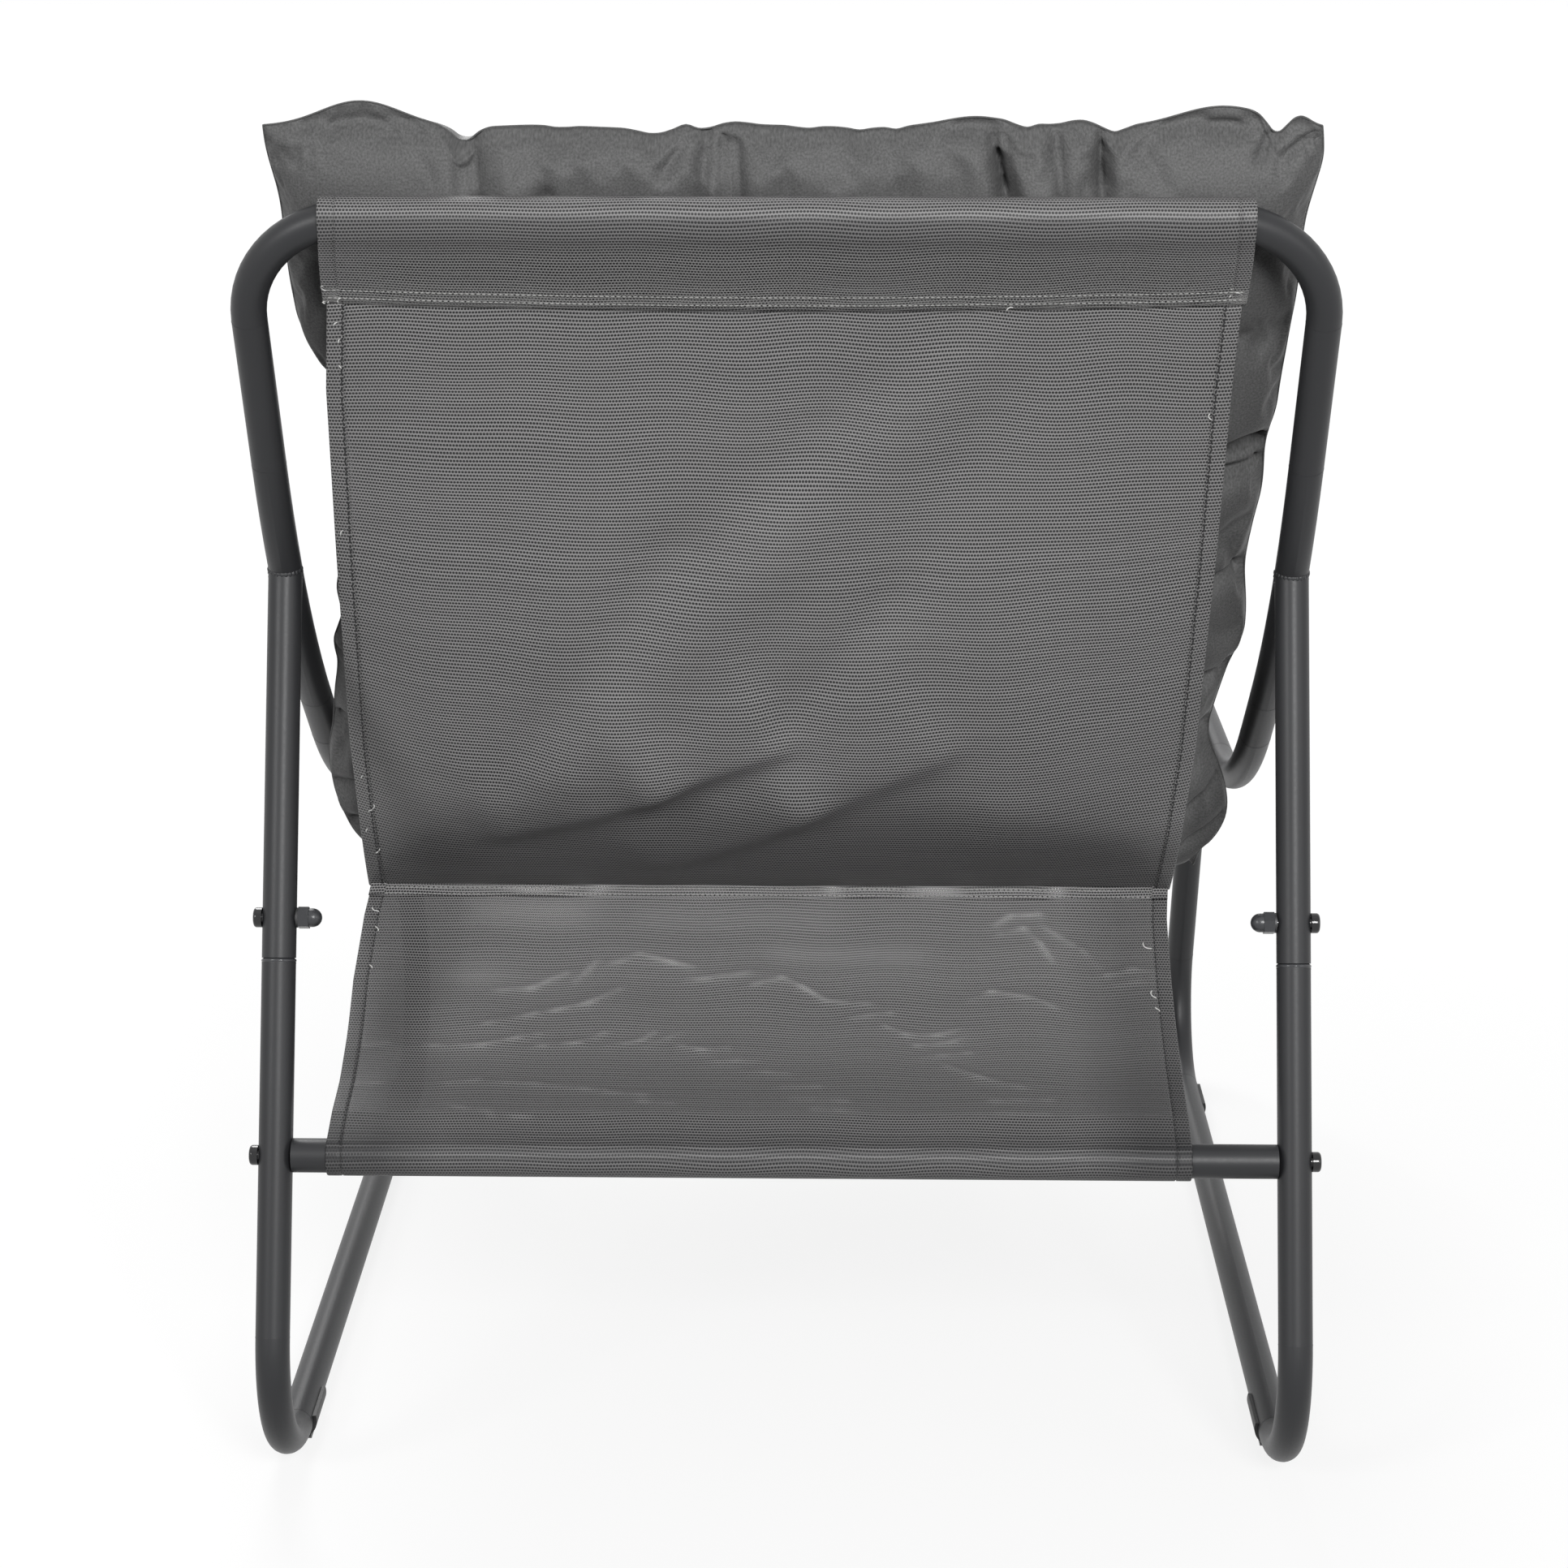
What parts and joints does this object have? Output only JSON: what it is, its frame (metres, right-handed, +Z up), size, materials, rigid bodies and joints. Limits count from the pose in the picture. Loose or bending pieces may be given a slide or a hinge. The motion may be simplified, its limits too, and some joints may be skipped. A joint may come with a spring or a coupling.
{
  "type": "outdoor lounge chair",
  "caption": "Low outdoor lounge chair: bent steel tube frame on a straight sled base, a mesh sling hung from bars, and a loose tufted cushion that lifts off.",
  "frame": {"origin": "on the floor, under the middle of the whole chair", "axes": "+Z up, -Y the front of the chair, +X the sitter's left"},
  "size_m": [0.6862, 0.8063, 0.8778],
  "materials": {
    "powder_coated_steel": "satin charcoal powder coat with a fine grain",
    "blackened_steel": "blackened, smooth, semi-gloss",
    "zinc_steel": "plain zinc plate",
    "black_plastic": "matt moulded black",
    "mesh_fabric": "open woven coated yarn mesh, slight sheen",
    "cushion_fabric": "matt plain woven polyester"
  },
  "bodies": {
    "chair": {"back_frame": "powder_coated_steel", "rear_socket_left": "powder_coated_steel", "rear_socket_right": "powder_coated_steel", "front_socket_left": "powder_coated_steel", "front_socket_right": "powder_coated_steel", "base_side_left": "powder_coated_steel", "base_side_right": "powder_coated_steel", "rear_bar_tube": "powder_coated_steel", "front_bar_tube": "powder_coated_steel", "rear_bar_plugs": "blackened_steel", "front_bar_plugs": "blackened_steel", "rear_bar_bolts": "blackened_steel", "front_bar_bolts": "blackened_steel", "rear_leg_bolts": "blackened_steel", "front_leg_bolts": "blackened_steel", "rear_dome_nuts": "blackened_steel", "front_dome_nuts": "blackened_steel", "rear_leg_washers": "zinc_steel", "front_leg_washers": "zinc_steel", "rail_cap_left": "black_plastic", "rail_cap_right": "black_plastic", "rear_glide_left": "black_plastic", "rear_glide_right": "black_plastic", "front_glide_left": "black_plastic", "front_glide_right": "black_plastic", "sling_back": "mesh_fabric", "sling_seat": "mesh_fabric", "sling_tail": "mesh_fabric"},
    "cushion": {"cushion_back": "cushion_fabric", "cushion_seat": "cushion_fabric"}
  },
  "joints": [
    {"name": "cushion_lift", "type": "slide", "parent": "chair", "child": "cushion", "axis": [0, 0, 1], "range_m": [0, 0.3]}
  ]
}
